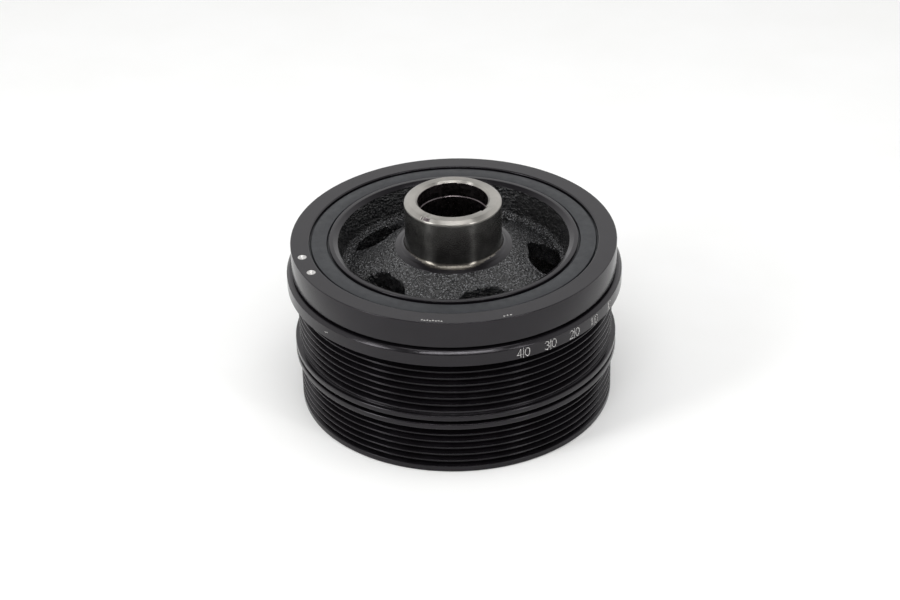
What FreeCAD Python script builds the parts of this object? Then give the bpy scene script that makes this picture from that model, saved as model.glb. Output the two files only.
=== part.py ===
import FreeCAD, Part
import math
import os

# Crankshaft harmonic balancer with two poly-V belt tracks.
# Millimetres. The origin is on the crankshaft axis in the front face, on which the part rests,
# and +Z points to the engine, along the snout.
# Radii are r and heights are z. An outline is a list of (r, z) or (r, z, rounding radius).

# Outside, where the two guide lips and the ring's top land share one radius
ring_radius = 75.6
lip_rise = 2.0
lip_width = 2.8
lip_edge_chamfer = 0.35

# Belt tracks: one standard poly-V groove, repeated
rib_pitch = 3.56
groove_angle = 40.0
crest_flat = 0.6
root_flat = 1.1
rear_groove_count = 7
front_groove_count = 6

# Front belt track, part of the hub, with its guide lip next to the ring
front_edge_land = 2.95
front_edge_chamfer = 0.5
front_end_land = 0.89
front_track_wall = 9.6
front_track_draft = 1.0
front_flange_thickness = 8.5

# Inertia ring, with the rear belt track, its guide lip and the timing flange
ring_clearance = 1.7
ring_wall = 8.6
rear_end_land = 1.46
flange_foot_land = 2.32
flange_rise = 2.4
flange_thickness = 7.6
flange_edge_chamfer = 0.35
flange_bevel = 1.4
undercut_height = 0.8
undercut_depth = 3.8
top_land_height = 12.9
ring_edge_chamfer = 0.3
ring_mouth_chamfer = 0.4

# Balance dimples in the ring's engine-side face
dimple_radius = 2.1
dimple_depth = 1.3
dimple_angles = (193.1, 204.7)

# Rubber ring, between the hub's rim and the inertia ring
rubber_thickness = 9.3
rubber_drop = 0.4
rubber_crown = 0.35
rubber_crown_rounding = 30.0
rubber_end_inset = 0.6
meniscus_width = 1.0
meniscus_depth = 1.5

# Hub rim
rim_edge_chamfer = 0.4
rim_bevel_width = 2.2
rim_bevel_drop = 1.2
rim_mouth_thickness = 4.1
rim_root_thickness = 5.6
rim_foot_thickness = 4.7
rim_neck_thickness = 6.1

# Web: a cone between the collar and the rim
web_thickness = 10.0
web_knee_share = 0.247
web_knee_drop = 9.0
web_rim_drop = 16.8
web_knee_rounding = 60.0
casting_fillet = 3.0

# Windows through the web, from its knee outwards, with roundings as shares of their depth
window_count = 5
window_first_angle = 1.0
window_half_angle = 18.0
window_rim_distance = 7.8
window_inner_rounding_share = 0.56
window_outer_rounding_share = 0.3

# Collar at the foot of the snout
collar_radius = 27.3
collar_drop = 4.0
foot_radius = 25.0
foot_drop = 3.4
foot_fillet = 2.2

# Snout
snout_rise = 20.0
journal_radius = 22.5
lead_in_width = 1.9
lead_in_height = 1.4

# Bore, its wider entry and the keyway
bore_radius = 16.0
hub_length = 52.0
entry_clearance = 0.3
entry_depth = 7.8
bore_chamfer = 1.0
keyway_width = 5.0
keyway_depth = 2.0
keyway_angle = -34.4

# Boss under the web, with the crankshaft bolt's seat
boss_radius = 25.0
boss_draft = 1.5
boss_edge_chamfer = 1.0

# How near to a radius and to the Z direction an edge has to be to count as on it
radius_tolerance = 0.01
direction_tolerance = 0.001

# Worked-out radii
crest_radius = ring_radius - lip_rise
flange_radius = ring_radius + flange_rise
ring_bore_radius = ring_radius - ring_wall
rim_radius = ring_bore_radius - rubber_thickness
front_track_bore_radius = crest_radius - front_track_wall
web_knee_radius = collar_radius + web_knee_share * (rim_radius - collar_radius)
window_inner_radius = web_knee_radius
window_outer_radius = rim_radius - window_rim_distance
window_depth = window_outer_radius - window_inner_radius

# Worked-out groove and heights
groove_mouth = rib_pitch - crest_flat
flank_height = (groove_mouth - root_flat) / 2
groove_depth = flank_height / math.tan(math.radians(groove_angle / 2))
front_groove_top = front_edge_land + front_groove_count * rib_pitch - crest_flat
front_lip_bottom = front_groove_top + front_end_land
front_track_height = front_lip_bottom + lip_width
ring_bottom = front_track_height + ring_clearance
rear_lip_top = ring_bottom + lip_width
rear_groove_start = rear_lip_top + rear_end_land
rear_groove_top = rear_groove_start + rear_groove_count * rib_pitch - crest_flat
flange_bottom = rear_groove_top + flange_foot_land
flange_top = flange_bottom + flange_thickness
top_land_start = flange_top + undercut_height
ring_top = top_land_start + top_land_height
snout_top = ring_top + snout_rise
boss_face = snout_top - hub_length
entry_radius = bore_radius + entry_clearance
flange_underside = front_track_height - front_flange_thickness


def rounded_corner(before, corner, after):
    """The two tangent points and the middle of the arc that rounds an outline's corner."""
    here = FreeCAD.Vector(corner[0], 0, corner[1])
    back = (FreeCAD.Vector(before[0], 0, before[1]) - here).normalize()
    ahead = (FreeCAD.Vector(after[0], 0, after[1]) - here).normalize()
    half_angle = back.getAngle(ahead) / 2
    reach = corner[2] / math.tan(half_angle)
    centre = here + (back + ahead).normalize() * (corner[2] / math.sin(half_angle))
    middle = centre + (here - centre).normalize() * corner[2]
    return here + back * reach, middle, here + ahead * reach


def turned(outline):
    """A solid turned about the Z axis from a closed outline."""
    edges = []
    first = None
    last = None
    for index, corner in enumerate(outline):
        following = outline[(index + 1) % len(outline)]
        if len(corner) == 3:
            start, middle, end = rounded_corner(outline[index - 1], corner, following)
        else:
            start = FreeCAD.Vector(corner[0], 0, corner[1])
            middle = None
            end = start
        if last is not None:
            edges.append(Part.LineSegment(last, start).toShape())
        else:
            first = start
        if middle is not None:
            edges.append(Part.Arc(start, middle, end).toShape())
        last = end
    edges.append(Part.LineSegment(last, first).toShape())
    face = Part.Face(Part.Wire(edges))
    return face.revolve(FreeCAD.Vector(0, 0, 0), FreeCAD.Vector(0, 0, 1), 360)


def grooves(start, count):
    """The outline of a poly-V track, going up from the lowest groove's lower edge."""
    root_radius = crest_radius - groove_depth
    points = []
    for groove in range(count):
        low = start + groove * rib_pitch
        points.append((crest_radius, low))
        points.append((root_radius, low + flank_height))
        points.append((root_radius, low + flank_height + root_flat))
        points.append((crest_radius, low + groove_mouth))
    return points


def hub_body():
    """The hub before its windows and keyway are cut."""
    foot = ring_top - foot_drop
    collar = ring_top - collar_drop
    knee = ring_top - web_knee_drop
    web_edge = ring_top - web_rim_drop
    bevel = ring_top - rim_bevel_drop
    mouth_radius = rim_radius - rim_mouth_thickness
    top_side = [
        (bore_radius + bore_chamfer, boss_face),
        (bore_radius, boss_face + bore_chamfer),
        (bore_radius, snout_top - entry_depth - entry_clearance),
        (entry_radius, snout_top - entry_depth),
        (entry_radius, snout_top - bore_chamfer),
        (entry_radius + bore_chamfer, snout_top),
        (journal_radius - lead_in_width, snout_top),
        (journal_radius, snout_top - lead_in_height),
        (journal_radius, foot, foot_fillet),
        (foot_radius, foot),
        (collar_radius, collar),
        (web_knee_radius, knee, web_knee_rounding),
        (rim_radius - rim_root_thickness, web_edge, casting_fillet),
        (mouth_radius, bevel),
        (mouth_radius + rim_bevel_width, ring_top),
        (rim_radius - rim_edge_chamfer, ring_top),
        (rim_radius, ring_top - rim_edge_chamfer),
        (rim_radius, front_track_height),
    ]
    track = [
        (ring_radius - lip_edge_chamfer, front_track_height),
        (ring_radius, front_track_height - lip_edge_chamfer),
        (ring_radius, front_lip_bottom + lip_edge_chamfer),
        (ring_radius - lip_edge_chamfer, front_lip_bottom),
        (crest_radius, front_lip_bottom),
    ]
    track += reversed(grooves(front_edge_land, front_groove_count))
    track += [
        (crest_radius, front_edge_chamfer),
        (crest_radius - front_edge_chamfer, 0),
    ]
    under_side = [
        (front_track_bore_radius, 0),
        (front_track_bore_radius - front_track_draft, flange_underside, casting_fillet),
        (rim_radius - rim_foot_thickness, flange_underside, casting_fillet),
        (rim_radius - rim_neck_thickness, web_edge - web_thickness, casting_fillet),
        (web_knee_radius, knee - web_thickness, web_knee_rounding),
        (boss_radius + boss_draft, collar - web_thickness, casting_fillet),
        (boss_radius, boss_face + boss_edge_chamfer),
        (boss_radius - boss_edge_chamfer, boss_face),
    ]
    return turned(top_side + track + under_side)


def upright_edges(solid, radius):
    """The edges parallel to Z that lie at a radius from the axis."""
    found = []
    for edge in solid.Edges:
        lean = 1 - abs(edge.tangentAt(edge.FirstParameter).z)
        distance = math.hypot(edge.CenterOfMass.x, edge.CenterOfMass.y)
        if lean < direction_tolerance and abs(distance - radius) < radius_tolerance:
            found.append(edge)
    return found


def window_tool():
    """A prism with the outline of one cast window, through the web along Z."""
    bottom = ring_top - web_rim_drop - web_thickness - casting_fillet
    height = ring_top - bottom
    outer = Part.makeCylinder(window_outer_radius, height, FreeCAD.Vector(0, 0, bottom))
    inner = Part.makeCylinder(window_inner_radius, height, FreeCAD.Vector(0, 0, bottom))
    far = 2 * window_outer_radius
    half_width = far * math.tan(math.radians(window_half_angle))
    corners = [
        FreeCAD.Vector(0, 0, bottom),
        FreeCAD.Vector(far, -half_width, bottom),
        FreeCAD.Vector(far, half_width, bottom),
    ]
    wedge = Part.Face(Part.makePolygon(corners + corners[:1])).extrude(FreeCAD.Vector(0, 0, height))
    window = outer.cut(inner).common(wedge)
    inner_edges = upright_edges(window, window_inner_radius)
    window = window.makeFillet(window_inner_rounding_share * window_depth, inner_edges)
    outer_edges = upright_edges(window, window_outer_radius)
    return window.makeFillet(window_outer_rounding_share * window_depth, outer_edges)


def keyway_tool():
    """A bar that cuts the keyway along the whole bore."""
    bar = Part.makeBox(bore_radius + keyway_depth, keyway_width, hub_length,
                       FreeCAD.Vector(0, -keyway_width / 2, boss_face))
    bar.rotate(FreeCAD.Vector(0, 0, 0), FreeCAD.Vector(0, 0, 1), keyway_angle)
    return bar


def make_hub():
    """The casting with its five windows and the keyway."""
    hub = hub_body()
    window = window_tool()
    for index in range(window_count):
        cut = window.copy()
        angle = window_first_angle + index * 360.0 / window_count
        cut.rotate(FreeCAD.Vector(0, 0, 0), FreeCAD.Vector(0, 0, 1), angle)
        hub = hub.cut(cut)
    return hub.cut(keyway_tool())


def make_rubber_ring():
    """The bonded ring, crowned at both ends with a meniscus along each bond."""
    top = ring_top - rubber_drop
    bottom = ring_bottom + rubber_end_inset
    centre = rim_radius + rubber_thickness / 2
    outline = []
    for height, inward in ((bottom, 1), (top, -1)):
        floor = height + inward * meniscus_depth
        shoulder = height + inward * rubber_crown
        end = [
            (rim_radius, floor),
            (rim_radius + meniscus_width, shoulder),
            (centre, height, rubber_crown_rounding),
            (ring_bore_radius - meniscus_width, shoulder),
            (ring_bore_radius, floor),
        ]
        outline += end if inward > 0 else reversed(end)
    return turned(outline)


def dimple_tool(angle):
    """A cone that spot-drills the ring's face."""
    tip = FreeCAD.Vector((ring_bore_radius + ring_radius) / 2, 0, ring_top - dimple_depth)
    dimple = Part.makeCone(0, 2 * dimple_radius, 2 * dimple_depth, tip)
    dimple.rotate(FreeCAD.Vector(0, 0, 0), FreeCAD.Vector(0, 0, 1), angle)
    return dimple


def make_inertia_ring():
    """The turned ring, from its guide lip up to the engine-side face."""
    undercut_radius = ring_radius - undercut_depth
    outline = [
        (ring_bore_radius + ring_mouth_chamfer, ring_bottom),
        (ring_radius - lip_edge_chamfer, ring_bottom),
        (ring_radius, ring_bottom + lip_edge_chamfer),
        (ring_radius, rear_lip_top - lip_edge_chamfer),
        (ring_radius - lip_edge_chamfer, rear_lip_top),
        (crest_radius, rear_lip_top),
    ]
    outline += grooves(rear_groove_start, rear_groove_count)
    outline += [
        (crest_radius, flange_bottom),
        (flange_radius - flange_edge_chamfer, flange_bottom),
        (flange_radius, flange_bottom + flange_edge_chamfer),
        (flange_radius, flange_top - flange_bevel),
        (flange_radius - flange_bevel, flange_top),
        (undercut_radius, flange_top),
        (undercut_radius, top_land_start),
        (ring_radius - flange_edge_chamfer, top_land_start),
        (ring_radius, top_land_start + flange_edge_chamfer),
        (ring_radius, ring_top - ring_edge_chamfer),
        (ring_radius - ring_edge_chamfer, ring_top),
        (ring_bore_radius + ring_mouth_chamfer, ring_top),
        (ring_bore_radius, ring_top - ring_mouth_chamfer),
        (ring_bore_radius, ring_bottom + ring_mouth_chamfer),
    ]
    ring = turned(outline)
    for angle in dimple_angles:
        ring = ring.cut(dimple_tool(angle))
    return ring


parts = {
    "hub": make_hub(),
    "rubber_ring": make_rubber_ring(),
    "inertia_ring": make_inertia_ring(),
}
os.makedirs("parts", exist_ok=True)
for name, shape in parts.items():
    print(name, len(shape.Solids), "solid, valid:", shape.isValid(), round(shape.Volume), "mm3")
    shape.exportStep("parts/" + name + ".step")
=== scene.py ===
import math

import bmesh
import bpy
import numpy as np
from mathutils import Matrix, Vector, noise


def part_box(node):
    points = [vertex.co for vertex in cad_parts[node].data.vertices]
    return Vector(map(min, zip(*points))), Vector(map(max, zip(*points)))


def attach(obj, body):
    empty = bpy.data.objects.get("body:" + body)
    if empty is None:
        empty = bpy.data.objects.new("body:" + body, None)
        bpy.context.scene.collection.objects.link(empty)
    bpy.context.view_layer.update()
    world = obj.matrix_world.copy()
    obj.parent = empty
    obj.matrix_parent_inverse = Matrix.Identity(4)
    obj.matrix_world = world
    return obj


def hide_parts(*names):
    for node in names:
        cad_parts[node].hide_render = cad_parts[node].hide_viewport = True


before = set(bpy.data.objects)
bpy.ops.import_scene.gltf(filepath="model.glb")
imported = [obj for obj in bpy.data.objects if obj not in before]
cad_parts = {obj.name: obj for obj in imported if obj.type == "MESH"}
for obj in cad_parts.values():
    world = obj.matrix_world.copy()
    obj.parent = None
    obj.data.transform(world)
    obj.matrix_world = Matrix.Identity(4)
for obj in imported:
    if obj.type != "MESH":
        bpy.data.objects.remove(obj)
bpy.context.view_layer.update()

# Looks of a crankshaft harmonic balancer.
# Lengths are in millimetres and turn into metres when a mesh is made.
# Radii are r, heights are z and azimuths are degrees from +X.
MM = 0.001
SEGMENTS = 360

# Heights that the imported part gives
ring_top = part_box("inertia_ring")[1].z / MM
ring_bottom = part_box("inertia_ring")[0].z / MM
snout_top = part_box("hub")[1].z / MM

# Outside, where the two guide lips and the ring's top land share one radius
ring_radius = 75.6
lip_rise = 2.0
lip_width = 2.8
crest_radius = ring_radius - lip_rise
lip_rounding = 0.55
edge_rounding = 0.12

# Belt tracks
rib_pitch = 3.56
groove_angle = 40.0
crest_flat = 0.6
root_flat = 1.1
rear_groove_count = 7
front_groove_count = 6
groove_mouth = rib_pitch - crest_flat
flank_height = (groove_mouth - root_flat) / 2
groove_depth = flank_height / math.tan(math.radians(groove_angle / 2))
crest_rounding = 0.28
root_rounding = 0.3

# Front track and flange of the hub
front_edge_land = 2.95
front_edge_chamfer = 0.5
front_end_land = 0.89
front_track_bore = 64.0
front_track_root = 63.0
front_flange_thickness = 8.5
front_groove_top = front_edge_land + front_groove_count * rib_pitch - crest_flat
front_lip_bottom = front_groove_top + front_end_land
front_track_height = front_lip_bottom + lip_width
flange_underside = front_track_height - front_flange_thickness

# Inertia ring
ring_bore = 67.0
rear_end_land = 1.46
flange_foot_land = 2.32
flange_thickness = 7.6
flange_radius = 78.0
flange_chamfer = 0.35
flange_bevel = 1.4
bevel_foot_rounding = 0.6
bevel_top_rounding = 1.1
undercut_height = 0.8
undercut_depth = 3.8
ring_edge_chamfer = 0.3
ring_mouth_chamfer = 0.4
rear_lip_top = ring_bottom + lip_width
rear_groove_start = rear_lip_top + rear_end_land
rear_groove_top = rear_groove_start + rear_groove_count * rib_pitch - crest_flat
flange_bottom = rear_groove_top + flange_foot_land
flange_top = flange_bottom + flange_thickness
undercut_radius = ring_radius - undercut_depth
top_land_start = flange_top + undercut_height

# Balance dimples and dot-peened marks in the ring's face, each mark (azimuth, radius)
dimple_azimuths = (193.1, 204.7)
dimple_radius = 2.1
dimple_depth = 1.3
dimple_centre_radius = (ring_bore + ring_radius) / 2
dot_radius = 0.5
dot_depth = 0.16
dots = [(258.4 + 0.98 * step, 73.4 + 0.25 * (step % 2)) for step in range(8)]
dots += [(287.0 + 1.2 * step, 73.5 - 0.2 * (step % 2)) for step in range(3)]

# Timing scale stamped into the flange, each mark (azimuth, digits left and right of its tick)
scale_marks = ((292.5, "40"), (302.7, "30"), (313.0, "20"), (323.3, "10"), (333.2, " 0"))
scale_foot = flange_bottom + 0.95
digit_height = 4.1
digit_width = 2.3
digit_gap = 0.75
stroke_half_width = 0.19
stroke_depth = 0.16

# A scratch at the left of the flange, from one (way along the flange, height) to the next
scratch_azimuth = 221.8
scratch_line = ((-1.2, 1.9), (0.9, 2.5))

# Where the columns of faces are closer, each (first azimuth, last azimuth, step)
flange_spans = ((220.6, 223.0, 0.15), (288.0, 337.0, 0.12))
dot_spans = ((257.5, 266.5, 0.16), (286.1, 290.6, 0.16))
dimple_spans = [(place - 2.5, place + 2.5, 0.25) for place in dimple_azimuths]

# Rubber ring
rim_radius = 57.7
rubber_top = ring_top - 0.4
rubber_bottom = ring_bottom + 0.6
meniscus_width = 1.05
meniscus_floor = 0.75
meniscus_depth = 1.5
rubber_crown = 0.35

# Hub
boss_face = snout_top - 52.0
boss_radius = 25.0
boss_draft = 1.5
bore_radius = 16.0
entry_radius = 16.3
entry_depth = 7.8
bore_chamfer = 1.0
keyway_width = 5.0
keyway_depth = 2.0
keyway_azimuth = -34.4
journal_radius = 22.5
lead_in_width = 1.9
lead_in_height = 1.4
foot_radius = 25.0
foot_height = ring_top - 3.4
foot_fillet = 2.2
foot_bare_azimuth = 268.0
foot_bare_half_angle = 34.0
foot_painted_radius = 22.9
foot_bare_widening = 2.1
collar_radius = 27.3
collar_height = ring_top - 4.0
knee_radius = 34.8
knee_height = ring_top - 9.0
knee_rounding = 60.0
web_thickness = 10.0
web_edge_height = ring_top - 16.8
rim_root_radius = 52.1
rim_mouth_radius = 53.6
rim_bevel_width = 2.2
rim_bevel_height = ring_top - 1.2
rim_foot_radius = 53.0
rim_neck_radius = 51.6
casting_fillet = 3.0

# Two dents in the outer edge of the snout's top
dent_azimuth = 236.0
dent_half_angle = 2.4
small_dent_azimuth = 229.0
small_dent_half_angle = 1.6
dent_inward = 0.15
dent_drop = 0.35

# Sand-cast relief of the web, as lumps of a size and height
grain_size = 2.6
grain_height = 0.16
lump_size = 9.0
lump_height = 0.12

# Windows
window_count = 5
window_first_azimuth = 1.0
window_half_angle = 18.0
window_inner_radius = 34.8
window_outer_radius = 49.9
window_inner_rounding = 8.5
window_outer_rounding = 4.5
window_edge_rounding = 1.3


def arc_points(before, corner, after, steps):
    """Points on the arc that rounds an outline's corner (r, z, radius)."""
    here = np.array(corner[:2], float)
    back = np.array(before[:2], float) - here
    ahead = np.array(after[:2], float) - here
    back /= np.linalg.norm(back)
    ahead /= np.linalg.norm(ahead)
    half = math.acos(np.clip(back @ ahead, -1, 1)) / 2
    reach = corner[2] / math.tan(half)
    bisector = (back + ahead) / np.linalg.norm(back + ahead)
    centre = here + bisector * corner[2] / math.sin(half)
    start = here + back * reach - centre
    end = here + ahead * reach - centre
    turn = math.atan2(start[0] * end[1] - start[1] * end[0], start @ end)
    points = []
    for step in range(steps + 1):
        angle = turn * step / steps
        cos, sin = math.cos(angle), math.sin(angle)
        points.append(centre + np.array([start[0] * cos - start[1] * sin, start[0] * sin + start[1] * cos]))
    return points


def outline_points(corners, closed=True, steps=4):
    """The (r, z) points of an outline whose three-number corners are rounded."""
    points = []
    for index, corner in enumerate(corners):
        inner = closed or 0 < index < len(corners) - 1
        if len(corner) == 3 and inner:
            following = corners[(index + 1) % len(corners)]
            points += arc_points(corners[index - 1], corner, following, steps)
        else:
            points.append(np.array(corner[:2], float))
    return np.array(points)


def resampled(points, count):
    """The same open line, divided into equal steps."""
    lengths = np.concatenate([[0], np.cumsum(np.linalg.norm(np.diff(points, axis=0), axis=1))])
    places = np.linspace(0, lengths[-1], count)
    return np.stack([np.interp(places, lengths, points[:, axis]) for axis in range(points.shape[1])], 1)


def make_object(name, vertices, faces, sharp_angle=35.0):
    """A mesh object from points in millimetres, smooth but for its sharp edges."""
    mesh = bpy.data.meshes.new(name)
    mesh.from_pydata((np.asarray(vertices) * MM).tolist(), [], faces)
    mesh.polygons.foreach_set("use_smooth", [True] * len(mesh.polygons))
    mesh.set_sharp_from_angle(angle=math.radians(sharp_angle))
    mesh.update()
    piece = bpy.data.objects.new(name, mesh)
    bpy.context.scene.collection.objects.link(piece)
    return piece


def ring_faces(rows, count):
    """Quads of a grid that closes both ways, with a number of rows and a count of points in each."""
    faces = []
    for row in range(rows):
        low = row * count
        high = (row + 1) % rows * count
        for column in range(count):
            following = (column + 1) % count
            faces.append((low + column, low + following, high + following, high + column))
    return faces


def even_azimuths():
    """The azimuths of the columns of faces, a degree apart."""
    return np.arange(SEGMENTS) * 360.0 / SEGMENTS


def turned(name, points, azimuths=None, shape=None):
    """A closed solid turned about the axis. shape, if given, moves points: it takes r, z and azimuth."""
    if azimuths is None:
        azimuths = even_azimuths()
    r, azimuth = np.meshgrid(points[:, 0], azimuths, indexing="ij")
    z = np.meshgrid(points[:, 1], azimuths, indexing="ij")[0]
    if shape is not None:
        r, z = shape(r, z, azimuth)
    angle = np.radians(azimuth)
    vertices = np.stack([r * np.cos(angle), r * np.sin(angle), z], -1).reshape(-1, 3)
    faces = ring_faces(len(points), len(azimuths))
    area = np.sum(points[:, 0] * np.roll(points[:, 1], -1) - np.roll(points[:, 0], -1) * points[:, 1])
    if area > 0:
        faces = [face[::-1] for face in faces]
    return make_object(name, vertices, faces)


def grooves(start, count):
    """The rounded outline of a poly-V track, going up."""
    points = []
    root_radius = crest_radius - groove_depth
    for groove in range(count):
        low = start + groove * rib_pitch
        points.append((crest_radius, low, crest_rounding))
        points.append((root_radius, low + flank_height, root_rounding))
        points.append((root_radius, low + flank_height + root_flat, root_rounding))
        points.append((crest_radius, low + groove_mouth, crest_rounding))
    return points


def closer_azimuths(*spans):
    """Azimuths a degree apart, and closer in each span (start, end, step)."""
    azimuths = even_azimuths()
    for start, end, step in spans:
        azimuths = azimuths[(azimuths < start) | (azimuths >= end)]
        azimuths = np.concatenate([azimuths, np.arange(start, end, step)])
    return np.sort(azimuths)


def distance_to_strokes(u, v, strokes):
    """How far flat points are from the nearest of some lines of points."""
    nearest = np.full(u.shape, np.inf)
    for stroke in strokes:
        for (u0, v0), (u1, v1) in zip(stroke[:-1], stroke[1:]):
            ahead_u = u1 - u0
            ahead_v = v1 - v0
            share = ((u - u0) * ahead_u + (v - v0) * ahead_v) / (ahead_u ** 2 + ahead_v ** 2)
            share = np.clip(share, 0, 1)
            nearest = np.minimum(nearest, np.hypot(u - u0 - share * ahead_u, v - v0 - share * ahead_v))
    return nearest


def face_centres(piece):
    """The r, z and azimuth of a mesh's face centres, in millimetres and degrees."""
    centres = np.empty(len(piece.data.polygons) * 3)
    piece.data.polygons.foreach_get("center", centres)
    x, y, z = centres.reshape(-1, 3).T / MM
    return np.hypot(x, y), z, np.degrees(np.arctan2(y, x)) % 360


def finish_piece(piece, materials, chosen=None):
    """Gives a piece its materials and its body."""
    for material in materials:
        piece.data.materials.append(material)
    if chosen is not None:
        piece.data.polygons.foreach_set("material_index", chosen.astype(int))
    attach(piece, "root")
    return piece


# Materials

class Nodes:
    """A material's node tree with short calls for the nodes used here."""

    def __init__(self, name):
        self.material = bpy.data.materials.new(name)
        self.material.use_nodes = True
        self.tree = self.material.node_tree
        self.shader = self.tree.nodes["Principled BSDF"]
        self.place = self.add("ShaderNodeTexCoord").outputs["Object"]

    def add(self, kind, **values):
        node = self.tree.nodes.new(kind)
        for key, value in values.items():
            setattr(node, key, value)
        return node

    def link(self, source, target):
        self.tree.links.new(source, target)

    def set(self, **values):
        for key, value in values.items():
            self.shader.inputs[key.replace("_", " ")].default_value = value

    def noise(self, size, detail=2.0, place=None, roughness=0.5):
        """Noise with lumps of a size in millimetres."""
        node = self.add("ShaderNodeTexNoise")
        node.inputs["Scale"].default_value = 1 / (size * MM)
        node.inputs["Detail"].default_value = detail
        node.inputs["Roughness"].default_value = roughness
        self.link(place or self.place, node.inputs["Vector"])
        return node.outputs["Fac"]

    def around(self):
        """A place (r, z, 0), the same all round the axis, and the height."""
        parts = self.add("ShaderNodeSeparateXYZ")
        self.link(self.place, parts.inputs[0])
        flat = self.add("ShaderNodeCombineXYZ")
        self.link(parts.outputs["X"], flat.inputs["X"])
        self.link(parts.outputs["Y"], flat.inputs["Y"])
        radius = self.add("ShaderNodeVectorMath", operation="LENGTH")
        self.link(flat.outputs[0], radius.inputs[0])
        made = self.add("ShaderNodeCombineXYZ")
        self.link(radius.outputs["Value"], made.inputs["X"])
        self.link(parts.outputs["Z"], made.inputs["Y"])
        return made.outputs[0], parts.outputs["Z"]

    def span(self, value, low, high, to_low, to_high):
        """value, taken from low to high and spread from to_low to to_high."""
        node = self.add("ShaderNodeMapRange")
        for name, number in (("From Min", low), ("From Max", high), ("To Min", to_low), ("To Max", to_high)):
            node.inputs[name].default_value = number
        self.link(value, node.inputs["Value"])
        return node.outputs["Result"]

    def maths(self, operation, first, second):
        """One step of arithmetic on two values, each a socket or a number."""
        node = self.add("ShaderNodeMath", operation=operation)
        for socket, value in zip(node.inputs, (first, second)):
            if isinstance(value, (int, float)):
                socket.default_value = value
            else:
                self.link(value, socket)
        return node.outputs[0]

    def ramp(self, value, stops):
        """A colour ramp with (position, colour) stops."""
        node = self.add("ShaderNodeValToRGB")
        elements = node.color_ramp.elements
        while len(elements) < len(stops):
            elements.new(0.5)
        for element, (position, colour) in zip(elements, stops):
            element.position = position
            element.color = (*colour, 1.0)
        self.link(value, node.inputs["Fac"])
        return node.outputs["Color"]

    def mix(self, factor, first, second):
        """Two colours, mixed by a factor. Each colour is a socket or three numbers."""
        node = self.add("ShaderNodeMix", data_type="RGBA")
        self.link(factor, node.inputs["Factor"])
        for socket, value in ((node.inputs["A"], first), (node.inputs["B"], second)):
            if isinstance(value, tuple):
                socket.default_value = (*value, 1.0)
            else:
                self.link(value, socket)
        return node.outputs["Result"]

    def bump(self, height, depth, under=None):
        """A bump whose height of one unit is depth millimetres, over another if one is given."""
        node = self.add("ShaderNodeBump")
        node.inputs["Strength"].default_value = 1.0
        node.inputs["Distance"].default_value = depth * MM
        self.link(height, node.inputs["Height"])
        if under is not None:
            self.link(under, node.inputs["Normal"])
        return node.outputs["Normal"]


def turned_paint(name, ior):
    """Satin black paint over turned iron, whose fine lathe lines show through."""
    n = Nodes(name)
    line = n.around()[0]
    n.link(n.ramp(n.noise(9.0), [(0.3, (0.0028, 0.0024, 0.0030)), (0.7, (0.0050, 0.0044, 0.0054))]),
           n.shader.inputs["Base Color"])
    n.link(n.span(n.noise(5.0, 4.0), 0.3, 0.7, 0.15, 0.23), n.shader.inputs["Roughness"])
    fine = n.bump(n.noise(0.35, 1.0, line), 0.005)
    n.link(n.bump(n.noise(0.9, 3.0), 0.010, under=fine), n.shader.inputs["Normal"])
    n.set(IOR=ior, Specular_Tint=(0.98, 0.94, 1.0, 1.0))
    return n.material


def cast_paint(name, tip):
    """Glossy black paint over a rough sand casting. The grain's tips have the lighter colour tip, a painted
    highlight that stands in for the casting's sparkle.
    """
    n = Nodes(name)
    # The lighter colour on the grain's tips is painted highlight, standing in for sparkle
    n.link(n.ramp(n.noise(0.85, 3.0), [(0.53, (0.002, 0.002, 0.0025)), (0.66, tip)]),
           n.shader.inputs["Base Color"])
    n.link(n.span(n.noise(1.2, 3.0), 0.3, 0.7, 0.08, 0.20), n.shader.inputs["Roughness"])
    coarse = n.bump(n.noise(1.8, 2.0, roughness=0.6), 1.3)
    n.link(n.bump(n.noise(0.9, 2.0), 0.6, under=coarse), n.shader.inputs["Normal"])
    n.set(IOR=1.6)
    return n.material


def rubber():
    """Smooth moulded rubber with a faint bloom."""
    n = Nodes("rubber")
    n.link(n.ramp(n.noise(7.0, 4.0), [(0.3, (0.012, 0.013, 0.016)), (0.7, (0.019, 0.021, 0.024))]),
           n.shader.inputs["Base Color"])
    n.link(n.span(n.noise(3.0, 3.0), 0.3, 0.7, 0.40, 0.52), n.shader.inputs["Roughness"])
    n.link(n.bump(n.noise(0.8, 3.0), 0.015), n.shader.inputs["Normal"])
    n.set(IOR=1.42)
    return n.material


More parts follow.
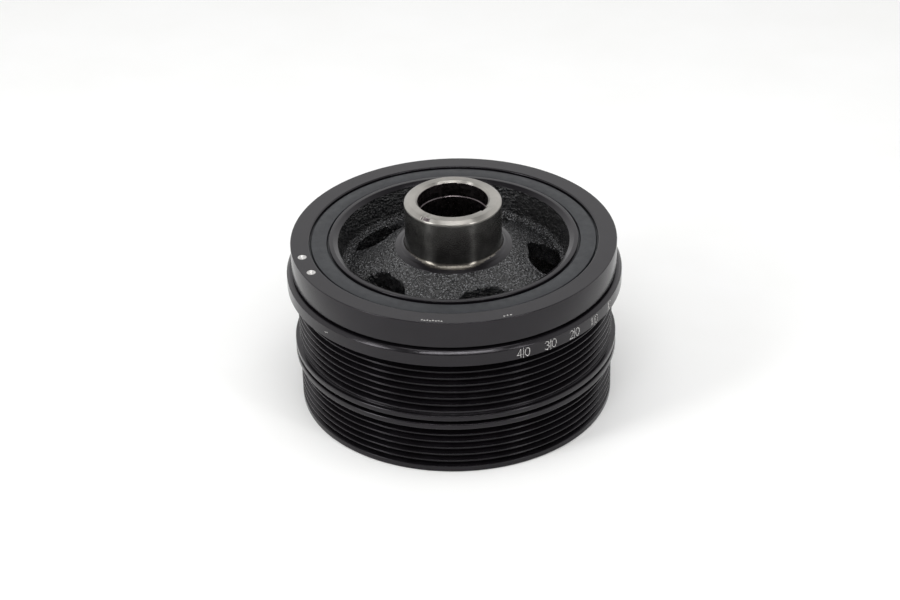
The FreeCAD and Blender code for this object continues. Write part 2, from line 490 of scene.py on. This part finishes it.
def machined_iron():
    """Bare turned iron with lathe lines round the axis."""
    n = Nodes("machined_iron")
    line, height = n.around()
    clean = n.ramp(n.noise(6.0, 3.0), [(0.3, (0.30, 0.29, 0.27)), (0.7, (0.36, 0.345, 0.32))])
    # The journal's side is darker than its top: painted shade for the dark web it reflects
    journal_shade = n.ramp(n.noise(6.0, 3.0), [(0.3, (0.15, 0.147, 0.14)), (0.7, (0.19, 0.187, 0.18))])
    stained = n.ramp(n.noise(2.0, 3.0), [(0.3, (0.10, 0.092, 0.080)), (0.7, (0.17, 0.158, 0.14))])
    above_foot = n.span(height, (foot_height + 1.2) * MM, (foot_height + 2.6) * MM, 0, 1)
    at_top = n.span(height, (snout_top - 2.6) * MM, (snout_top - 1.6) * MM, 0, 1)
    side = n.mix(above_foot, stained, journal_shade)
    n.link(n.mix(at_top, side, clean), n.shader.inputs["Base Color"])
    smooth = n.span(n.noise(5.0, 3.0), 0.3, 0.7, 0.21, 0.26)
    rougher_top = n.maths("MULTIPLY", at_top, 0.12)
    n.link(n.maths("ADD", smooth, rougher_top), n.shader.inputs["Roughness"])
    n.link(n.bump(n.noise(0.22, 2.0, line), 0.004), n.shader.inputs["Normal"])
    n.set(Metallic=1.0, Anisotropic=0.85, Anisotropic_Rotation=0.25)
    tangent = n.add("ShaderNodeTangent", direction_type="RADIAL", axis="Z")
    n.link(tangent.outputs[0], n.shader.inputs["Tangent"])
    return n.material


def bore_iron():
    """The bore: machined iron, darker than the snout's top."""
    n = Nodes("bore_iron")
    line = n.around()[0]
    n.link(n.ramp(n.noise(4.0, 4.0), [(0.3, (0.10, 0.085, 0.09)), (0.7, (0.18, 0.155, 0.16))]),
           n.shader.inputs["Base Color"])
    n.link(n.span(n.noise(2.0, 3.0), 0.3, 0.7, 0.22, 0.34), n.shader.inputs["Roughness"])
    n.link(n.bump(n.noise(0.3, 2.0, line), 0.008), n.shader.inputs["Normal"])
    n.set(Metallic=1.0)
    return n.material


def bright_iron():
    """Freshly cut iron, as in a drilled dimple or a stamped mark."""
    n = Nodes("bright_iron")
    n.link(n.ramp(n.noise(0.6, 3.0), [(0.3, (0.42, 0.41, 0.40)), (0.7, (0.66, 0.65, 0.64))]),
           n.shader.inputs["Base Color"])
    n.link(n.span(n.noise(0.5, 2.0), 0.3, 0.7, 0.22, 0.40), n.shader.inputs["Roughness"])
    n.link(n.bump(n.noise(0.3, 2.0), 0.02), n.shader.inputs["Normal"])
    n.set(Metallic=0.6)
    return n.material


# Pieces of the hub

def slot_radius(azimuth):
    """How far out the keyway reaches at each azimuth, or 0 outside it."""
    off = np.radians((azimuth - keyway_azimuth + 180) % 360 - 180)
    floor_radius = bore_radius + keyway_depth
    inside = np.abs(off) <= math.atan2(keyway_width / 2, floor_radius) + 1e-6
    return np.where(inside, floor_radius / np.cos(off), 0)


def make_core(steel, bore, paint):
    """Snout, collar and boss, with the bore and its keyway.
    The two rows under the lead-in keep the dents' shading off the rest of the journal."""
    corners = [
        (bore_radius + bore_chamfer, boss_face),
        (bore_radius, boss_face + bore_chamfer),
        (bore_radius, snout_top - entry_depth - 0.3),
        (entry_radius, snout_top - entry_depth),
        (entry_radius, snout_top - bore_chamfer, 0.25),
        (entry_radius + bore_chamfer, snout_top, 0.3),
        (journal_radius - lead_in_width, snout_top, 0.7),
        (journal_radius, snout_top - lead_in_height, 0.9),
        (journal_radius, snout_top - 2.8),
        (journal_radius, snout_top - 3.2),
        (journal_radius, foot_height, foot_fillet),
        (foot_radius, foot_height, 0.15),
        (collar_radius, collar_height, 0.25),
        (collar_radius, collar_height - 4),
        (boss_radius + boss_draft, collar_height - web_thickness),
        (boss_radius, boss_face + 1, 0.2),
        (boss_radius - 1, boss_face, 0.2),
    ]
    points = outline_points(corners, steps=6)
    edge_of_slot = math.degrees(math.asin(keyway_width / 2 / bore_radius))
    floor_edge = math.degrees(math.atan2(keyway_width / 2, bore_radius + keyway_depth))
    slot = [keyway_azimuth + a for a in (-edge_of_slot, -floor_edge, 0, floor_edge, edge_of_slot)]
    even = even_azimuths()
    off = (even - keyway_azimuth + 180) % 360 - 180
    azimuths = np.sort(np.concatenate([even[np.abs(off) > edge_of_slot + 0.4], np.array(slot) % 360]))

    def shape(r, z, azimuth):
        on_edge = (z > snout_top - 1.25) & (r > journal_radius - 2.2)
        dent = np.exp(-((azimuth - dent_azimuth) / dent_half_angle) ** 2)
        small_dent = 0.5 * np.exp(-((azimuth - small_dent_azimuth) / small_dent_half_angle) ** 2)
        dented = (dent + small_dent) * on_edge
        return np.maximum(r, slot_radius(azimuth)) - dent_inward * dented, z - dent_drop * dented

    piece = turned("hub_core", points, azimuths, shape)
    r, z, azimuth = face_centres(piece)
    as_steel, as_bore, as_paint = range(3)
    chosen = np.where(z < collar_height + 0.2, as_paint, as_steel)
    # The foot is bare metal at the front and painted at the sides, with a ragged edge between
    ragged = np.array([noise.noise(Vector((a / 3.0, 0, 0))) for a in azimuth])
    bare_share = np.exp(-((azimuth - foot_bare_azimuth) / foot_bare_half_angle) ** 4)
    bare_radius = foot_painted_radius + foot_bare_widening * bare_share + 0.25 * ragged
    chosen[(r > bare_radius) & (z < foot_height + 2.0)] = as_paint
    chosen[(r < bore_radius + keyway_depth + 0.3) & (z < snout_top - 0.9)] = as_bore
    chosen[z < boss_face + 0.5] = as_steel
    # The dents take the bore's dark iron: painted shade in the dents
    dents_shaded = np.abs(azimuth - dent_azimuth) < 4.2 - 4 * np.abs(z - snout_top + 0.75)
    dents_shaded |= np.abs(azimuth - small_dent_azimuth) < 1.1
    chosen[dents_shaded & (r > journal_radius - 1.6) & (z > snout_top - 1.3)] = as_bore
    return finish_piece(piece, [steel, bore, paint], chosen)


def window_outline(count_inner, count_side, count_outer):
    """Plan points and outward normals round one window, centred on azimuth 0.
    They start at the middle of a rounding at the inner end and go round anticlockwise."""
    half = math.radians(window_half_angle)
    inner_centre_radius = window_inner_radius + window_inner_rounding
    outer_centre_radius = window_outer_radius - window_outer_rounding
    inner_centre_angle = half - math.asin(window_inner_rounding / inner_centre_radius)
    outer_centre_angle = half - math.asin(window_outer_rounding / outer_centre_radius)

    def arc(centre, radius, start, end, steps=24):
        angles = np.linspace(start, end, steps)
        return np.stack([centre[0] + radius * np.cos(angles), centre[1] + radius * np.sin(angles)], 1)

    def centre(radius, angle):
        return np.array([radius * math.cos(angle), radius * math.sin(angle)])

    inner_centre = centre(inner_centre_radius, inner_centre_angle)
    outer_centre = centre(outer_centre_radius, outer_centre_angle)
    inner_turn = (inner_centre_angle + math.pi, half + math.pi / 2)
    inner_middle = sum(inner_turn) / 2
    outer_middle = (half + math.pi / 2 + outer_centre_angle) / 2
    # The half of the outline with positive azimuth, from the inner end's middle to the outer end's middle
    inner_part = np.concatenate([
        arc((0, 0), window_inner_radius, 0, inner_centre_angle),
        arc(inner_centre, window_inner_rounding, inner_turn[0], inner_middle)])
    side_part = np.concatenate([
        arc(inner_centre, window_inner_rounding, inner_middle, inner_turn[1]),
        arc(outer_centre, window_outer_rounding, half + math.pi / 2, outer_middle)])
    outer_part = np.concatenate([
        arc(outer_centre, window_outer_rounding, outer_middle, outer_centre_angle),
        arc((0, 0), window_outer_radius, outer_centre_angle, 0)])
    mirror = np.array([1, -1])
    inner_line = np.concatenate([inner_part[::-1] * mirror, inner_part[1:]])[::-1]
    outer_line = np.concatenate([outer_part, outer_part[::-1][1:] * mirror])[::-1]
    inner_line = resampled(inner_line, count_inner + 1)
    outer_line = resampled(outer_line, count_outer + 1)
    side = resampled(side_part, count_side + 1)
    # Anticlockwise seen from above: down the inner end to negative azimuth, out, across, and back in
    points = np.concatenate([
        inner_line[:-1],
        (side * mirror)[:-1],
        outer_line[:-1],
        side[::-1][:-1]])
    ahead = np.roll(points, -1, 0) - np.roll(points, 1, 0)
    normals = np.stack([ahead[:, 1], -ahead[:, 0]], 1)
    return points, normals / np.linalg.norm(normals, axis=1)[:, None]


def sheet_layers(profile, edge, counts, layers):
    """Rows of points from the sector's border to the window's edge on one face of the web.
    profile is the face's (r, z) line, edge the plan points where the face meets the window's rounding."""
    lengths = np.concatenate([[0], np.cumsum(np.linalg.norm(np.diff(profile, axis=0), axis=1))])
    edge_radius = np.hypot(edge[:, 0], edge[:, 1])
    edge_azimuth = np.arctan2(edge[:, 1], edge[:, 0])
    rising = profile[:, 0]
    edge_place = np.interp(edge_radius, np.maximum.accumulate(rising), lengths)
    half_sector = math.pi / window_count
    count_inner, count_side, count_outer = counts
    border = np.concatenate([
        np.stack([np.zeros(count_inner), np.linspace(half_sector, -half_sector, count_inner + 1)[:-1]], 1),
        np.stack([np.linspace(0, lengths[-1], count_side + 1)[:-1], np.full(count_side, -half_sector)], 1),
        np.stack([np.full(count_outer, lengths[-1]),
                  np.linspace(-half_sector, half_sector, count_outer + 1)[:-1]], 1),
        np.stack([np.linspace(lengths[-1], 0, count_side + 1)[:-1], np.full(count_side, half_sector)], 1)])
    window = np.stack([edge_place, edge_azimuth], 1)
    rows = []
    for layer in range(layers + 1):
        share = layer / layers
        place = border * (1 - share) + window * share
        r = np.interp(place[:, 0], lengths, profile[:, 0])
        z = np.interp(place[:, 0], lengths, profile[:, 1])
        rows.append(np.stack([r * np.cos(place[:, 1]), r * np.sin(place[:, 1]), z], 1))
    return rows


def make_web(paint, shaded_paint):
    """The windowed cone between the collar and the rim, with rounded window edges and a sand-cast face."""
    counts = (58, 66, 104)
    points, normals = window_outline(*counts)
    sunk = 0.18
    top_profile = outline_points([
        (collar_radius - 1.3, collar_height + 0.34 - sunk),
        (collar_radius, collar_height - sunk),
        (knee_radius, knee_height - sunk / 2, knee_rounding),
        (rim_root_radius, web_edge_height, casting_fillet),
        (rim_mouth_radius - 0.05, rim_bevel_height - 0.05)], closed=False, steps=10)
    under_profile = outline_points([
        (boss_radius + 0.3, collar_height - web_thickness - 9),
        (boss_radius + boss_draft, collar_height - web_thickness, casting_fillet),
        (knee_radius, knee_height - web_thickness, knee_rounding),
        (rim_neck_radius, web_edge_height - web_thickness, casting_fillet),
        (rim_neck_radius + 0.6, web_edge_height - web_thickness - 7)], closed=False, steps=10)
    edge = points + normals * window_edge_rounding
    top = sheet_layers(top_profile, edge, counts, 24)
    under = sheet_layers(under_profile, edge, counts, 8)

    def rounding(sheet_edge, direction):
        rows = []
        for step in range(1, 6):
            angle = math.pi / 2 * step / 5
            plan = points + normals * window_edge_rounding * (1 - math.sin(angle))
            z = sheet_edge[:, 2] + direction * window_edge_rounding * (1 - math.cos(angle))
            rows.append(np.column_stack([plan, z]))
        return rows

    over_edge = rounding(top[-1], -1)
    under_edge = rounding(under[-1], 1)
    wall = [over_edge[-1] * (1 - share) + under_edge[-1] * share for share in np.linspace(0, 1, 13)[1:-1]]
    rows = top + over_edge + wall + under_edge[::-1] + under[::-1]
    count = len(points)
    vertices = []
    faces = []
    for window in range(window_count):
        angle = math.radians(window_first_azimuth + window * 360 / window_count)
        cos, sin = math.cos(angle), math.sin(angle)
        turn = np.array([[cos, sin, 0], [-sin, cos, 0], [0, 0, 1]])
        base = len(vertices) * count
        for row in rows:
            vertices.append(row @ turn)
        for row in range(len(rows) - 1):
            low = base + row * count
            for column in range(count):
                following = (column + 1) % count
                faces.append((low + column, low + count + column, low + count + following, low + following))
        last = base + (len(rows) - 1) * count
        for start, length in ((0, counts[0]), (counts[0] + counts[1], counts[2])):
            for column in range(start, start + length):
                following = column + 1
                faces.append((last + column, base + column, base + following, last + following))
    piece = make_object("hub_web", np.concatenate(vertices), faces, 60)
    welded = bmesh.new()
    welded.from_mesh(piece.data)
    bmesh.ops.remove_doubles(welded, verts=welded.verts, dist=0.002 * MM)
    bmesh.ops.recalc_face_normals(welded, faces=welded.faces)
    welded.normal_update()
    for vertex in welded.verts:
        place = vertex.co / MM
        grain = noise.fractal(place / grain_size, 1.0, 2.0, 4) * grain_height
        lumps = noise.noise(place / lump_size) * lump_height
        vertex.co += vertex.normal * (grain + lumps) * MM
    welded.to_mesh(piece.data)
    welded.free()
    piece.data.update()
    face_normals = np.empty(len(piece.data.polygons) * 3)
    piece.data.polygons.foreach_get("normal", face_normals)
    # Steep faces, the window walls, take the near-black copy of the paint: painted shade
    steep_shaded = face_normals.reshape(-1, 3)[:, 2] < 0.3
    return finish_piece(piece, [paint, shaded_paint], steep_shaded)


def make_rim(paint, cast, shaded_groove_paint):
    """The rim that carries the rubber, the front flange and the front belt track."""
    mouth_gap = 0.35
    corners = [
        (rim_root_radius + mouth_gap, web_edge_height),
        (rim_mouth_radius + 0.05, rim_bevel_height, 0.1),
        (rim_mouth_radius + rim_bevel_width, ring_top, 0.25),
        (rim_radius, ring_top, 0.35),
        (rim_radius, front_track_height, 0.4),
        (ring_radius, front_track_height, lip_rounding),
        (ring_radius, front_lip_bottom, lip_rounding),
        (crest_radius, front_lip_bottom, 0.2),
    ]
    corners += reversed(grooves(front_edge_land, front_groove_count))
    corners += [
        (crest_radius, front_edge_chamfer, edge_rounding),
        (crest_radius - front_edge_chamfer, 0, edge_rounding),
        (front_track_bore, 0, 0.5),
        (front_track_root, flange_underside, casting_fillet),
        (rim_foot_radius, flange_underside, casting_fillet),
        (rim_neck_radius, web_edge_height - web_thickness),
    ]
    piece = turned("hub_rim", outline_points(corners))
    r, z, azimuth = face_centres(piece)
    as_paint, as_shaded_cast, as_shaded_groove = range(3)
    # The neck and the recess take the near-black copy of the cast paint, passed in as cast: painted shade
    neck = (r < rim_radius - 0.2) & (z < web_edge_height - web_thickness)
    recess = (r < front_track_bore + 0.05) & (z < flange_underside + 0.5) & (z > 0.6)
    in_track = (z > front_edge_land - 0.1) & (z < front_groove_top + 0.1)
    chosen = np.where(neck | recess, as_shaded_cast, as_paint)
    # The track takes the less reflective copy of the paint: painted shade
    chosen[in_track & (r > crest_radius - groove_depth - 0.1)] = as_shaded_groove
    return finish_piece(piece, [paint, cast, shaded_groove_paint], chosen)


# Ring and rubber

def make_rubber(material):
    """The bonded ring with a crown and a meniscus at each end."""
    centre = (rim_radius + ring_bore) / 2
    corners = []
    for height, inward in ((rubber_bottom, 1), (rubber_top, -1)):
        floor = height + inward * meniscus_depth
        shoulder = height + inward * rubber_crown
        end = [
            (rim_radius - 0.05, floor),
            (rim_radius + meniscus_floor, floor, 0.2),
            (rim_radius + meniscus_width, shoulder, 0.35),
            (centre, height, 30.0),
            (ring_bore - meniscus_width, shoulder, 0.35),
            (ring_bore - meniscus_floor, floor, 0.2),
            (ring_bore + 0.05, floor),
        ]
        corners += end if inward > 0 else end[::-1]
    piece = turned("rubber_band", outline_points(corners, steps=5))
    return finish_piece(piece, [material])


def make_ring_track(paint, shaded_groove_paint):
    """The rear belt track and its guide lip, below the timing flange."""
    corners = [
        (ring_bore, ring_bottom, 0.4),
        (ring_radius, ring_bottom, lip_rounding),
        (ring_radius, rear_lip_top, lip_rounding),
        (crest_radius, rear_lip_top, 0.2),
    ]
    corners += grooves(rear_groove_start, rear_groove_count)
    corners += [
        (crest_radius, flange_bottom + 0.5),
        (ring_bore, flange_bottom + 0.5),
    ]
    piece = turned("ring_track", outline_points(corners))
    r, z, azimuth = face_centres(piece)
    # The track takes the less reflective copy of the paint: painted shade
    grooves_shaded = (r > ring_bore + 0.1) & (z > rear_groove_start - 0.1) & (z < rear_groove_top + 0.1)
    return finish_piece(piece, [paint, shaded_groove_paint], grooves_shaded)


def bow(centre, radii, start, end, steps=10):
    """Points on a bow of an ellipse, in degrees anticlockwise."""
    angles = np.radians(np.linspace(start, end, steps))
    return [(centre[0] + radii[0] * math.cos(a), centre[1] + radii[1] * math.sin(a)) for a in angles]


def digit_strokes(digit):
    """The strokes of a digit in a box one wide and one high."""
    if digit == "0":
        return [bow((0.5, 0.5), (0.5, 0.5), 0, 360, 20)]
    if digit == "1":
        return [[(0.25, 0.78), (0.6, 1.0), (0.6, 0.0)]]
    if digit == "2":
        return [bow((0.5, 0.7), (0.45, 0.3), 165, -45) + [(0.05, 0.0), (1.0, 0.0)]]
    if digit == "3":
        upper = bow((0.45, 0.76), (0.45, 0.24), 150, -90)
        lower = bow((0.45, 0.26), (0.5, 0.26), 90, -150)
        return [upper[:-1] + lower]
    if digit == "4":
        return [[(1.0, 0.3), (0.0, 0.3), (0.75, 1.0), (0.75, 0.0)]]
    return []


def scale_strokes():
    """The timing scale's numbers and ticks, and the scratch, as lines along the flange and up."""
    strokes = []
    for azimuth, digits in scale_marks:
        middle = math.radians(azimuth) * flange_radius
        strokes.append([(middle, scale_foot - 0.5), (middle, scale_foot + digit_height + 0.3)])
        for digit, left in zip(digits, (middle - digit_gap - digit_width, middle + digit_gap)):
            for stroke in digit_strokes(digit):
                strokes.append([(left + digit_width * u, scale_foot + digit_height * v) for u, v in stroke])
    scratch = math.radians(scratch_azimuth) * flange_radius
    strokes.append([(scratch + u, scale_foot + v) for u, v in scratch_line])
    return strokes


def make_ring_flange(paint, bright):
    """The timing flange with its stamped scale, and the undercut above it."""
    side = np.linspace(flange_bottom + flange_chamfer, flange_top - flange_bevel, 40)
    lower = outline_points([
        (ring_bore, flange_bottom),
        (flange_radius - flange_chamfer, flange_bottom, edge_rounding),
        (flange_radius, flange_bottom + flange_chamfer)], closed=False)
    upper = outline_points([
        (flange_radius, flange_top - flange_bevel - 1),
        (flange_radius, flange_top - flange_bevel, bevel_foot_rounding),
        (flange_radius - flange_bevel, flange_top, bevel_top_rounding),
        (undercut_radius, flange_top, 0.3),
        (undercut_radius, top_land_start + 0.5),
        (ring_bore, top_land_start + 0.5)], closed=False)
    points = np.concatenate([
        lower[:-1],
        np.column_stack([np.full(len(side) - 1, flange_radius), side[:-1]]),
        upper[1:]])
    strokes = scale_strokes()

    def depth(z, azimuth):
        off = distance_to_strokes(np.radians(azimuth) * flange_radius, z, strokes)
        return np.clip((stroke_half_width - off) / stroke_half_width * 2, 0, 1)

    def shape(r, z, azimuth):
        outside = (r > flange_radius - 0.001) & (z > side[0] + 0.05)
        return np.where(outside, r - stroke_depth * depth(z, azimuth), r), z

    piece = turned("ring_flange", points, closer_azimuths(*flange_spans), shape)
    r, z, azimuth = face_centres(piece)
    grain = np.array([noise.noise(Vector((a * 2.6, b * 2.2, 0))) for a, b in zip(azimuth, z)])
    stamped = depth(z, azimuth)
    # The metal shows in most of each stroke, and paint is left in the rest
    bare = (r > flange_radius - 2 * stroke_depth) & (stamped > 0.2) & (stamped > 0.5 - 1.1 * grain)
    return finish_piece(piece, [paint, bright], bare)


def sink_dimple(mesh, azimuth, material):
    """Sets a spot-drilled dimple into the ring's face: a round grid in place of a patch of faces."""
    angle = math.radians(azimuth)
    x = dimple_centre_radius * math.cos(angle)
    y = dimple_centre_radius * math.sin(angle)
    centre = Vector((x, y, ring_top)) * MM
    reach = (dimple_radius + 0.45) * MM
    patch = [face for face in mesh.faces
             if abs(face.calc_center_median().z - centre.z) < 0.01 * MM
             and (face.calc_center_median() - centre).length < reach]
    bmesh.ops.delete(mesh, geom=patch, context="FACES")
    rim = [vert for vert in mesh.verts
           if vert.is_boundary and (vert.co - centre).length < 2 * reach]
    rim.sort(key=lambda vert: math.atan2(vert.co.y - centre.y, vert.co.x - centre.x))
    rows = [(1.0, 0.0), (0.965, 0.02), (0.93, 0.09)]
    rows += [(0.93 * (1 - step / 6), 0.09 + 0.91 * step / 6) for step in range(1, 6)]
    last = rim
    for share, drop in rows:
        row = []
        for vert in rim:
            away = Vector((vert.co.x - centre.x, vert.co.y - centre.y, 0)).normalized()
            place = centre + away * dimple_radius * share * MM
            place.z -= drop * dimple_depth * MM
            row.append(mesh.verts.new(place))
        for index in range(len(rim)):
            following = (index + 1) % len(rim)
            face = mesh.faces.new((last[index], last[following], row[following], row[index]))
            face.material_index = material if share < 0.96 else 0
            face.smooth = True
        last = row
    tip = mesh.verts.new(centre - Vector((0, 0, dimple_depth * MM)))
    for index in range(len(rim)):
        face = mesh.faces.new((last[index], last[(index + 1) % len(rim)], tip))
        face.material_index = material
        face.smooth = True


def make_ring_land(paint, bright):
    """The top land and the ring's face, with its balance dimples and dot-peened marks."""
    face_edge = ring_radius - ring_edge_chamfer - 0.3
    mouth_edge = ring_bore + ring_mouth_chamfer
    face_mouth = mouth_edge + 0.3
    outer = outline_points([
        (ring_bore, top_land_start),
        (ring_radius - 0.35, top_land_start, edge_rounding),
        (ring_radius, top_land_start + 0.35, edge_rounding),
        (ring_radius, ring_top, ring_edge_chamfer),
        (face_edge, ring_top)], closed=False)
    inner = outline_points([
        (face_mouth, ring_top),
        (mouth_edge, ring_top, 0.5),
        (ring_bore, ring_top - ring_mouth_chamfer, 0.3),
        (ring_bore, top_land_start)], closed=False)
    across = np.linspace(face_edge, face_mouth, 32)[1:-1]
    face = np.column_stack([across, np.full(len(across), ring_top)])
    points = np.concatenate([outer, face, inner[:-1]])

    def depth(r, azimuth):
        off = np.full(r.shape, np.inf)
        for place, radius in dots:
            off = np.minimum(off, np.hypot(np.radians(azimuth - place) * radius, r - radius))
        return np.clip((dot_radius - off) / dot_radius * 2, 0, 1)

    def shape(r, z, azimuth):
        return r, np.where(z > ring_top - 0.001, z - dot_depth * depth(r, azimuth), z)

    piece = turned("ring_land", points, closer_azimuths(*dimple_spans, *dot_spans), shape)
    r, z, azimuth = face_centres(piece)
    peened = (z > ring_top - 2 * dot_depth) & (depth(r, azimuth) > 0.3)
    finish_piece(piece, [paint, bright], peened)
    mesh = bmesh.new()
    mesh.from_mesh(piece.data)
    for place in dimple_azimuths:
        sink_dimple(mesh, place, 1)
    mesh.to_mesh(piece.data)
    mesh.free()
    piece.data.set_sharp_from_angle(angle=math.radians(35))
    return piece


# Camera, light and floor

def add_camera():
    """The photograph's camera."""
    yaw, pitch, roll = -0.0024122, 0.5552420, -0.0235211
    forward = Vector((math.sin(yaw) * math.cos(pitch), math.cos(yaw) * math.cos(pitch), -math.sin(pitch)))
    level = Vector((math.cos(yaw), -math.sin(yaw), 0))
    upright = level.cross(forward)
    right = math.cos(roll) * level + math.sin(roll) * upright
    up = -math.sin(roll) * level + math.cos(roll) * upright
    data = bpy.data.cameras.new("camera")
    data.lens = 96.166
    data.sensor_width = 36
    data.clip_start = 0.05
    data.clip_end = 50
    camera = bpy.data.objects.new("camera", data)
    bpy.context.scene.collection.objects.link(camera)
    placed = Matrix((right, up, -forward)).transposed().to_4x4()
    placed.translation = Vector((0, -0.96133, 0.64285))
    camera.matrix_world = placed
    bpy.context.scene.camera = camera


def add_softbox(name, azimuth, elevation, distance, width, height, brightness):
    """An area light that faces the part. brightness is its own radiance."""
    data = bpy.data.lights.new(name, "AREA")
    data.shape = "RECTANGLE"
    data.size = width
    data.size_y = height
    data.energy = brightness * math.pi * width * height
    light = bpy.data.objects.new(name, data)
    bpy.context.scene.collection.objects.link(light)
    around, up = math.radians(azimuth), math.radians(elevation)
    direction = Vector((math.cos(around) * math.cos(up), math.sin(around) * math.cos(up), math.sin(up)))
    light.location = direction * distance
    light.rotation_mode = "QUATERNION"
    light.rotation_quaternion = direction.to_track_quat("Z", "Y")


def add_world():
    """A surround that is white behind and beside the part, and dark overhead and in front."""
    world = bpy.data.worlds.new("studio")
    bpy.context.scene.world = world
    world.use_nodes = True
    tree = world.node_tree
    place = tree.nodes.new("ShaderNodeTexCoord")
    parts = tree.nodes.new("ShaderNodeSeparateXYZ")
    tree.links.new(place.outputs["Generated"], parts.inputs[0])
    inputs = ("From Min", "From Max", "To Min", "To Max")
    shades = []
    for axis, numbers in (("Z", (0.60, 0.88, 1.0, 0.25)), ("Y", (-0.75, -0.15, 0.15, 1.0))):
        shade = tree.nodes.new("ShaderNodeMapRange")
        for name, number in zip(inputs, numbers):
            shade.inputs[name].default_value = number
        tree.links.new(parts.outputs[axis], shade.inputs["Value"])
        shades.append(shade.outputs["Result"])
    both = tree.nodes.new("ShaderNodeMath")
    both.operation = "MULTIPLY"
    tree.links.new(shades[0], both.inputs[0])
    tree.links.new(shades[1], both.inputs[1])
    full = tree.nodes.new("ShaderNodeMath")
    full.operation = "MULTIPLY"
    full.inputs[1].default_value = 1.22
    tree.links.new(both.outputs[0], full.inputs[0])
    tree.links.new(full.outputs[0], tree.nodes["Background"].inputs["Strength"])
    tree.nodes["Background"].inputs["Color"].default_value = (1, 1, 1, 1)


def add_floor():
    """A plain pale floor."""
    n = Nodes("floor_paper")
    n.link(n.ramp(n.noise(60.0, 3.0), [(0.3, (0.90, 0.90, 0.89)), (0.7, (0.92, 0.92, 0.915))]),
           n.shader.inputs["Base Color"])
    n.set(Roughness=0.9, Specular_IOR_Level=0.1)
    half = 6000.0
    corners = [(-half, -half, 0), (half, -half, 0), (half, half, 0), (-half, half, 0)]
    floor = make_object("floor", corners, [(0, 1, 2, 3)])
    floor.data.materials.append(n.material)


paint = turned_paint("turned_paint", 1.39)
# A less reflective copy of the turned paint: painted shade for the belt tracks
shaded_groove_paint = turned_paint("shaded_groove_paint", 1.31)
# The grain tips' lighter colour here is painted sparkle highlight
cast = cast_paint("cast_paint", (0.120, 0.122, 0.128))
# Near-black copy of the cast paint: painted shade for the window walls, the rim's neck and its recess
shaded_cast = cast_paint("shaded_cast_paint", (0.010, 0.010, 0.011))
steel = machined_iron()
bright = bright_iron()

make_core(steel, bore_iron(), paint)
web = make_web(cast, shaded_cast)
make_rim(paint, shaded_cast, shaded_groove_paint)
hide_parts("hub")
rubber_band = make_rubber(rubber())
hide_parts("rubber_ring")
make_ring_track(paint, shaded_groove_paint)
flange = make_ring_flange(paint, bright)
make_ring_land(paint, bright)
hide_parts("inertia_ring")

add_floor()
add_world()
add_softbox("softbox_left", 212, 28, 1.3, 0.30, 0.9, 8.5)
add_softbox("softbox_right", 314, 28, 1.3, 0.20, 0.9, 7.0)
add_softbox("softbox_over", 272, 57, 1.2, 0.75, 0.07, 22.0)
add_softbox("softbox_top", 275, 84, 1.2, 0.9, 0.3, 3.6)
add_camera()
bpy.context.scene.view_settings.view_transform = "Standard"
